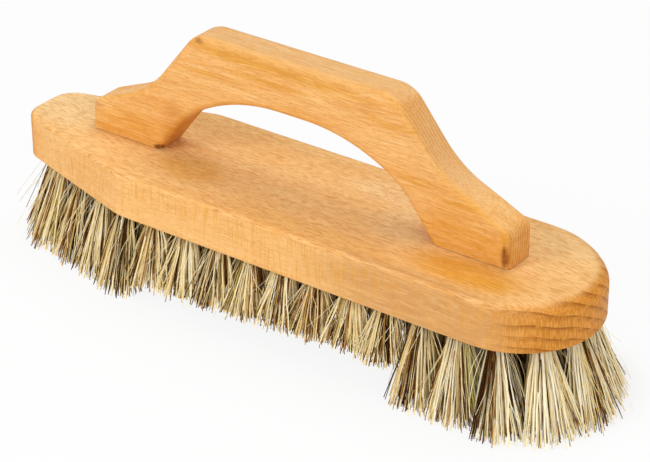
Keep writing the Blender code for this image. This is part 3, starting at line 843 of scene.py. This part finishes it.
def make_handle(material):
    """The arched handle on its two feet, with a pilot hole in each."""
    handle = slab("handle_arch", handle_outline(), HANDLE_HALF_THICKNESS, handle_radii,
                  handle_radii, HANDLE_SIDE_STEPS)
    bm = bmesh.new()
    bm.from_mesh(handle.data)
    everything = bm.verts[:] + bm.edges[:] + bm.faces[:]
    bmesh.ops.bisect_plane(bm, geom=everything, dist=SAME_POINT, plane_co=(0.0, 0.0, 0.0),
                           plane_no=(0.0, 1.0, 0.0), clear_inner=True)
    bmesh.ops.holes_fill(bm, edges=bm.edges, sides=0)
    bmesh.ops.recalc_face_normals(bm, faces=bm.faces)
    bm.to_mesh(handle.data)
    bm.free()
    upright = Matrix.Rotation(math.pi / 2, 4, "X")
    handle.data.transform(Matrix.Translation((HANDLE_MIDDLE, 0.0, SOLE)) @ upright)
    for node in SCREW_NODES:
        cut(handle, screw_room(node))
    finish_piece(handle, material, ["handle"])


# Kinds of fibre as (share, lowest and highest tone, thinnest and thickest radius), palest first
FIBRE_KINDS = (
    (0.46, 0.74, 0.94, 0.00020, 0.00050),
    (0.14, 0.58, 0.76, 0.00020, 0.00040),
    (0.13, 0.26, 0.44, 0.00018, 0.00038),
    (0.13, 0.10, 0.26, 0.00018, 0.00034),
    (0.14, 0.00, 0.10, 0.00018, 0.00034),
)
KIND_SHARE_SWING = (0.65, 1.35)
KIND_PATCHES_PER_METRE = 650
KIND_SEED_STEP = 3.7
KIND_BLUR = 0.16
PALE_TUFTS = ("tuft_outer_01", "tuft_outer_17", "tuft_outer_18", "tuft_outer_19",
              "tuft_outer_20", "tuft_outer_21")
PALE_TUFT_GAIN = 1.5
PALE_TUFT_LIFT = 0.08
MIDDLE_REACH = 0.050
MIDDLE_GAIN = 0.85
GREEN_TONE = 0.51
GREEN_SHARE = 0.012
GREEN_STREAK_NODE = "tuft_outer_21"
GREEN_STREAK_PLACE = 0.75
GREEN_STREAK_REACH = 0.10
DARK_TIP_SHARE = 0.15
DARK_TIP_GAIN = 0.45

# Shade on a tuft as (part of its length from the root, strength at the root)
INNER_SHADE = (0.90, 0.95)
OUTER_SHADE = (0.40, 0.45)
INNER_REACH = 0.1

# Where a tuft's fibres start and how they fan out: shares are of the fibres or of their length
FIBRES_PER_TUFT = 230
FIBRE_RINGS = 6
FIBRE_SIDES = 3
FIBRE_TAPER = 0.30
FIBRE_SHARP_ANGLE = math.radians(80.0)
PLUG_SLICE = 0.001
TIPS_BELOW_BLOCK = 0.010
BUNDLE_RADIUS = 0.0031
BUNDLE_CLEARANCE = 0.0003
ROOT_DEPTH = 0.003
FAN_OVERLAP = 0.64
FAN_OUTWARDS = 0.0068
FAN_SCATTER = 0.0014
SPREAD_POWER = 1.02
CROSSING_SHARE = 0.25
TIP_SCATTER = 0.0012
SHORT_SHARE = 0.08
SHORT_LEAST = 0.002
SHORT_MOST = 0.25
BOW = 0.0005
WAVE = 0.00022
WAVES_PER_FIBRE = 1.5
STRAY_SHARE = 0.08
STRAY_RADIUS = 0.00013
STRAY_TONES = (0.7, 1.0)
STRAY_SCATTER = 0.0050
STRAY_SHORT_MOST = 0.5
STRAY_BOW_GAIN = 4
LARGEST_SIDE_REACH = 0.0432
SIDE_EASING = 0.002
SIDE_PULL = 0.75
END_OVERREACH = 0.004


def tuft_shape(node):
    """Root centre, centre of the tips and the height that they end at."""
    places = np.array([vert.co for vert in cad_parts[node].data.vertices])
    plug = places[places[:, 2] > places[:, 2].max() - PLUG_SLICE]
    tips = places[places[:, 2] < UNDERSIDE - TIPS_BELOW_BLOCK]
    return plug.mean(axis=0)[:2], tips.mean(axis=0)[:2], tips[:, 2].min()


def next_in_row(node, nodes):
    """The tuft after this one in its row, which goes round."""
    row = [other for other in nodes if other.rsplit("_", 1)[0] == node.rsplit("_", 1)[0]]
    return row[(row.index(node) + 1) % len(row)]


def spread_evenly(count, start):
    """Places spread evenly over a disc of radius 1, along a spiral that starts at an angle."""
    index = np.arange(count)
    turn = index * math.pi * (3 - math.sqrt(5)) + start
    reach = np.sqrt((index + 0.5) / count)
    return np.stack([np.cos(turn), np.sin(turn)], axis=1) * reach[:, None]


def palest_gain(node, root):
    """How much more or less of the palest fibre this tuft holds."""
    if node in PALE_TUFTS:
        return PALE_TUFT_GAIN
    return MIDDLE_GAIN if abs(root[0]) < MIDDLE_REACH else 1.0


def fibre_kinds(offsets, seed, chance, gain):
    """Tone and radius of each fibre: kinds lie in streaks, so near fibres are often alike."""
    count = len(offsets)
    scaled = offsets * KIND_PATCHES_PER_METRE
    streaky = np.array([noise.noise((x, y, seed * KIND_SEED_STEP)) for x, y in scaled])
    order = np.argsort(np.argsort(streaky + chance.normal(0.0, KIND_BLUR, count)))
    shares = np.array([kind[0] for kind in FIBRE_KINDS])
    shares = shares * chance.uniform(*KIND_SHARE_SWING, len(FIBRE_KINDS))
    shares[0] *= gain
    limits = np.cumsum(shares / shares.sum())
    kinds = np.searchsorted(limits, (order + 0.5) / count)
    low, high, thin, thick = np.array(FIBRE_KINDS)[kinds, 1:].T
    tones = chance.uniform(low, high)
    if gain > 1.0:
        tones[kinds == 0] += PALE_TUFT_LIFT
    return tones, chance.uniform(thin, thick)


def end_heights(tip_height, count, chance):
    """The height that each fibre ends at, with some cut short."""
    heights = tip_height + np.abs(chance.normal(0.0, TIP_SCATTER, count))
    short = chance.random(count) < SHORT_SHARE
    longest_cut = SHORT_MOST * (UNDERSIDE - tip_height)
    heights[short] += chance.uniform(SHORT_LEAST, longest_cut, short.sum())
    return heights


def crossed(offsets, chance):
    """The places that the fibres lean to: their own, or another's for those that cross."""
    crossing = chance.random(len(offsets)) < CROSSING_SHARE
    aims = offsets.copy()
    aims[crossing] = chance.permutation(aims[crossing])
    return aims


def held_back(tips):
    """Tips that keep inside the brush's sides, softly, and its ends."""
    side_excess = np.maximum(np.abs(tips[:, 1]) - LARGEST_SIDE_REACH + SIDE_EASING, 0.0)
    tips[:, 1] -= np.sign(tips[:, 1]) * side_excess * SIDE_PULL
    tips[:, 1] = np.clip(tips[:, 1], -LARGEST_SIDE_REACH, LARGEST_SIDE_REACH)
    tips[:, 0] = np.clip(tips[:, 0], cad_box[0][0] - END_OVERREACH, cad_box[1][0] + END_OVERREACH)
    return tips


def ring_tones(tones, chance):
    """The fibres' tones at all their rings, with some tips darker."""
    rings = np.repeat(tones[:, None], FIBRE_RINGS, axis=1)
    dark_tip = chance.random(len(tones)) < DARK_TIP_SHARE
    rings[dark_tip, -1] *= DARK_TIP_GAIN
    return rings


def ring_shades(root, steps, count):
    """The shade that the block and the other tufts throw on each ring."""
    inner = abs(root[1]) < HALF_WIDTH / 2 and abs(root[0]) < INNER_REACH
    reach, strength = INNER_SHADE if inner else OUTER_SHADE
    return np.clip(1.0 - steps / reach, 0.0, 1.0)[None, :] * strength * np.ones((count, 1))


def fibre_lines(roots, tips, heights, stray, steps, chance):
    """Each fibre's line from inside its hole to its tip, a little bowed and wavy."""
    bow = chance.normal(0.0, BOW, roots.shape)
    bow[stray] *= STRAY_BOW_GAIN
    wave = chance.normal(0.0, WAVE, roots.shape)
    spread = steps ** SPREAD_POWER
    waves = np.sin(math.tau * WAVES_PER_FIBRE * steps)
    start = UNDERSIDE + ROOT_DEPTH
    lines = np.empty((len(roots), FIBRE_RINGS, 3))
    lines[:, :, :2] = roots[:, None, :] + (tips - roots)[:, None, :] * spread[None, :, None]
    lines[:, :, :2] += bow[:, None, :] * np.sin(math.pi * steps)[None, :, None]
    lines[:, :, :2] += wave[:, None, :] * waves[None, :, None]
    lines[:, :, 2] = start + (heights[:, None] - start) * steps[None, :]
    return lines


def fibre_mesh(name, lines, radii, tones, shades):
    """Closed thin tubes along lines (fibre, ring, xyz), with a tone and a shade for each ring."""
    fibres, rings = radii.shape
    angles = math.tau * np.arange(FIBRE_SIDES) / FIBRE_SIDES
    circle = np.stack([np.cos(angles), np.sin(angles), 0 * angles], axis=1)
    verts = lines[:, :, None, :] + radii[:, :, None, None] * circle
    corner = np.arange(FIBRE_SIDES)
    after = (corner + 1) % FIBRE_SIDES
    walls = []
    for ring in range(rings - 1):
        upper = ring * FIBRE_SIDES
        lower = upper + FIBRE_SIDES
        walls += [(upper + a, lower + a, lower + b, upper + b) for a, b in zip(corner, after)]
    walls = np.array(walls)
    end_cap = (rings - 1) * FIBRE_SIDES + corner[::-1]
    faces = []
    for first in range(0, fibres * rings * FIBRE_SIDES, rings * FIBRE_SIDES):
        faces += (walls + first).tolist()
        faces += [(corner + first).tolist(), (end_cap + first).tolist()]
    mesh = bpy.data.meshes.new(name)
    mesh.from_pydata(verts.reshape(-1, 3).tolist(), [], faces)
    for attribute_name, values in (("tone", tones), ("shade", shades)):
        attribute = mesh.attributes.new(attribute_name, "FLOAT", "POINT")
        each_corner = np.repeat(values.ravel(), FIBRE_SIDES).astype(np.float32)
        attribute.data.foreach_set("value", each_corner)
    return new_object(name, mesh)


def make_tuft(node, seed, next_tip, material):
    """Many thin fibres in the place of a CAD tuft, fanning out from its hole to the next fan."""
    root, tip_centre, tip_height = tuft_shape(node)
    outwards = (tip_centre - root) / np.linalg.norm(tip_centre - root)
    along_row = np.array([-outwards[1], outwards[0]])
    chance = np.random.default_rng(seed)
    count = FIBRES_PER_TUFT
    offsets = spread_evenly(count, chance.uniform(0, math.tau))
    tones, radii = fibre_kinds(offsets * BUNDLE_RADIUS, seed, chance, palest_gain(node, root))
    heights = end_heights(tip_height, count, chance)
    aims = crossed(offsets, chance)
    ahead, beside = aims @ outwards, aims @ along_row
    fan_along_row = FAN_OVERLAP * np.linalg.norm(next_tip - tip_centre)
    fan = np.outer(ahead, outwards) * FAN_OUTWARDS
    fan += np.outer(beside, along_row) * fan_along_row
    fan += chance.normal(0.0, FAN_SCATTER, (count, 2))

    tones[chance.random(count) < GREEN_SHARE] = GREEN_TONE
    if node == GREEN_STREAK_NODE:
        in_streak = np.abs(beside - GREEN_STREAK_PLACE) < GREEN_STREAK_REACH
        tones[in_streak & (ahead > 0.0)] = GREEN_TONE

    stray = chance.random(count) < STRAY_SHARE
    radii[stray] = STRAY_RADIUS
    tones[stray] = chance.uniform(*STRAY_TONES, stray.sum())
    fan[stray] += chance.normal(0.0, STRAY_SCATTER, (stray.sum(), 2))
    longest_cut = STRAY_SHORT_MOST * (UNDERSIDE - tip_height)
    heights[stray] += chance.uniform(0.0, longest_cut, stray.sum())

    steps = np.linspace(0.0, 1.0, FIBRE_RINGS)
    roots = root + offsets * (BUNDLE_RADIUS - BUNDLE_CLEARANCE)
    tips = held_back(tip_centre + fan)
    tones = ring_tones(tones, chance)
    shades = ring_shades(root, steps, count)
    lines = fibre_lines(roots, tips, heights, stray, steps, chance)
    taper = radii[:, None] * (1.0 - FIBRE_TAPER * steps[None, :])
    tuft = fibre_mesh(node + "_fibres", lines, taper, tones, shades)
    finish_piece(tuft, material, [node], sharp_angle=FIBRE_SHARP_ANGLE)


def dress_screws(material):
    """Give the screws' CAD meshes their material."""
    for node in SCREW_NODES:
        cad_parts[node].data.materials.clear()
        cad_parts[node].data.materials.append(material)


block_wood = beech("oiled_beech_block", BLOCK_GRAIN, BLOCK_STAINS, ())
handle_wood = beech("oiled_beech_handle", HANDLE_GRAIN, HANDLE_STAINS, HANDLE_BURNS)
fibre = fibre_material()
zinc = zinc_material()

tuft_nodes = sorted(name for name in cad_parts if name.startswith("tuft_"))
make_block([Vector(tuft_shape(node)[0]) for node in tuft_nodes], block_wood)
make_handle(handle_wood)
for number, tuft_node in enumerate(tuft_nodes):
    next_tip_centre = tuft_shape(next_in_row(tuft_node, tuft_nodes))[1]
    make_tuft(tuft_node, number + 1, next_tip_centre, fibre)
dress_screws(zinc)


# Camera at the photograph's place
CAMERA_PLACE = (0.5283, -0.7095, 0.5264)
CAMERA_PITCH = math.radians(28.9096)
CAMERA_YAW = math.radians(36.1353)
CAMERA_LENS = 135.679
SENSOR_WIDTH = 36.0
CLIP_END = 20.0

# Lamps as (name, place, size, power)
LAMPS = (
    ("key_light", (-0.75, -1.15, 0.70), 0.9, 12.8),
    ("fill_light", (1.4, -0.8, 0.7), 1.2, 12.5),
    ("top_light", (0.1, 0.4, 1.6), 1.2, 14.0),
)
LAMP_AIM = (0.0, 0.0, 0.05)

# Floor: it looks white but for its real shade in two places, as (centre, reach), under the
# long tufts, where it shows between their roots
WHITE = (1.0, 1.0, 1.0, 1.0)
FLOOR_COLOUR = (0.80, 0.80, 0.80, 1.0)
FLOOR_ROUGHNESS = 0.9
FLOOR_RADIUS = 6.0
FLOOR_SIDES = 96
FLOOR_WHITE_SHARE = 0.88
UNDER_HEEL = ((0.098, 0.014, 0.0), (0.060, 0.048, 1.0))
UNDER_NOSE = ((-0.100, 0.006, 0.0), (0.045, 0.032, 1.0))
WORLD_STRENGTH = 0.36


def make_camera():
    """The scene's camera."""
    data = bpy.data.cameras.new("camera")
    data.lens = CAMERA_LENS
    data.sensor_width = SENSOR_WIDTH
    data.clip_end = CLIP_END
    camera = new_object("camera", data)
    camera.location = CAMERA_PLACE
    camera.rotation_euler = (math.pi / 2 - CAMERA_PITCH, 0.0, CAMERA_YAW)
    bpy.context.scene.camera = camera


def make_lamp(name, place, size, power):
    """A soft square lamp aimed at the brush."""
    data = bpy.data.lights.new(name, "AREA")
    data.shape = "SQUARE"
    data.size = size
    data.energy = power
    lamp = new_object(name, data)
    lamp.location = place
    aim = Vector(LAMP_AIM) - Vector(place)
    lamp.rotation_euler = aim.to_track_quat("-Z", "Y").to_euler()


def with_plain_white(tree, share, surface):
    """A surface mixed with plain white light for what the camera, mirrors and glass see of it."""
    path = tree.nodes.new("ShaderNodeLightPath")
    seen = tree.maths("MAXIMUM", path.outputs["Is Camera Ray"], path.outputs["Is Glossy Ray"])
    seen = tree.maths("MAXIMUM", seen, path.outputs["Is Transmission Ray"])
    white = tree.nodes.new("ShaderNodeEmission")
    mixed = tree.nodes.new("ShaderNodeMixShader")
    tree.put(mixed.inputs[0], tree.times(seen, share))
    tree.links.new(surface, mixed.inputs[1])
    tree.links.new(white.outputs[0], mixed.inputs[2])
    return mixed.outputs[0]


def floor_material():
    """Plain matt floor that looks white away from the long tufts."""
    tree = Tree("plain_floor")
    tree.set(Base_Color=FLOOR_COLOUR, Roughness=FLOOR_ROUGHNESS, Specular_IOR_Level=0.0)
    place = tree.place()
    shaded = tree.maths("MAXIMUM", tree.spot(place, *UNDER_HEEL), tree.spot(place, *UNDER_NOSE))
    share = tree.times(tree.maths("SUBTRACT", 1.0, shaded), FLOOR_WHITE_SHARE)
    surface = with_plain_white(tree, share, tree.shader.outputs[0])
    tree.links.new(surface, tree.nodes["Material Output"].inputs["Surface"])
    return tree.material


def make_floor():
    """The round floor that the brush stands on."""
    bm = bmesh.new()
    bmesh.ops.create_circle(bm, cap_ends=True, segments=FLOOR_SIDES, radius=FLOOR_RADIUS)
    floor = mesh_object("floor", bm)
    floor.data.materials.append(floor_material())


def make_world():
    """Even white light, and plain white where the camera sees past the floor."""
    world = bpy.data.worlds.new("studio")
    world.use_nodes = True
    bpy.context.scene.world = world
    nodes, links = world.node_tree.nodes, world.node_tree.links
    light = nodes["Background"]
    light.inputs["Color"].default_value = WHITE
    light.inputs["Strength"].default_value = WORLD_STRENGTH
    seen = nodes.new("ShaderNodeBackground")
    seen.inputs["Color"].default_value = WHITE
    seen.inputs["Strength"].default_value = 1.0
    path = nodes.new("ShaderNodeLightPath")
    switch = nodes.new("ShaderNodeMixShader")
    links.new(path.outputs["Is Camera Ray"], switch.inputs[0])
    links.new(light.outputs[0], switch.inputs[1])
    links.new(seen.outputs[0], switch.inputs[2])
    links.new(switch.outputs[0], nodes["World Output"].inputs["Surface"])


make_camera()
for lamp_values in LAMPS:
    make_lamp(*lamp_values)
make_floor()
make_world()
bpy.context.scene.view_settings.view_transform = "Standard"
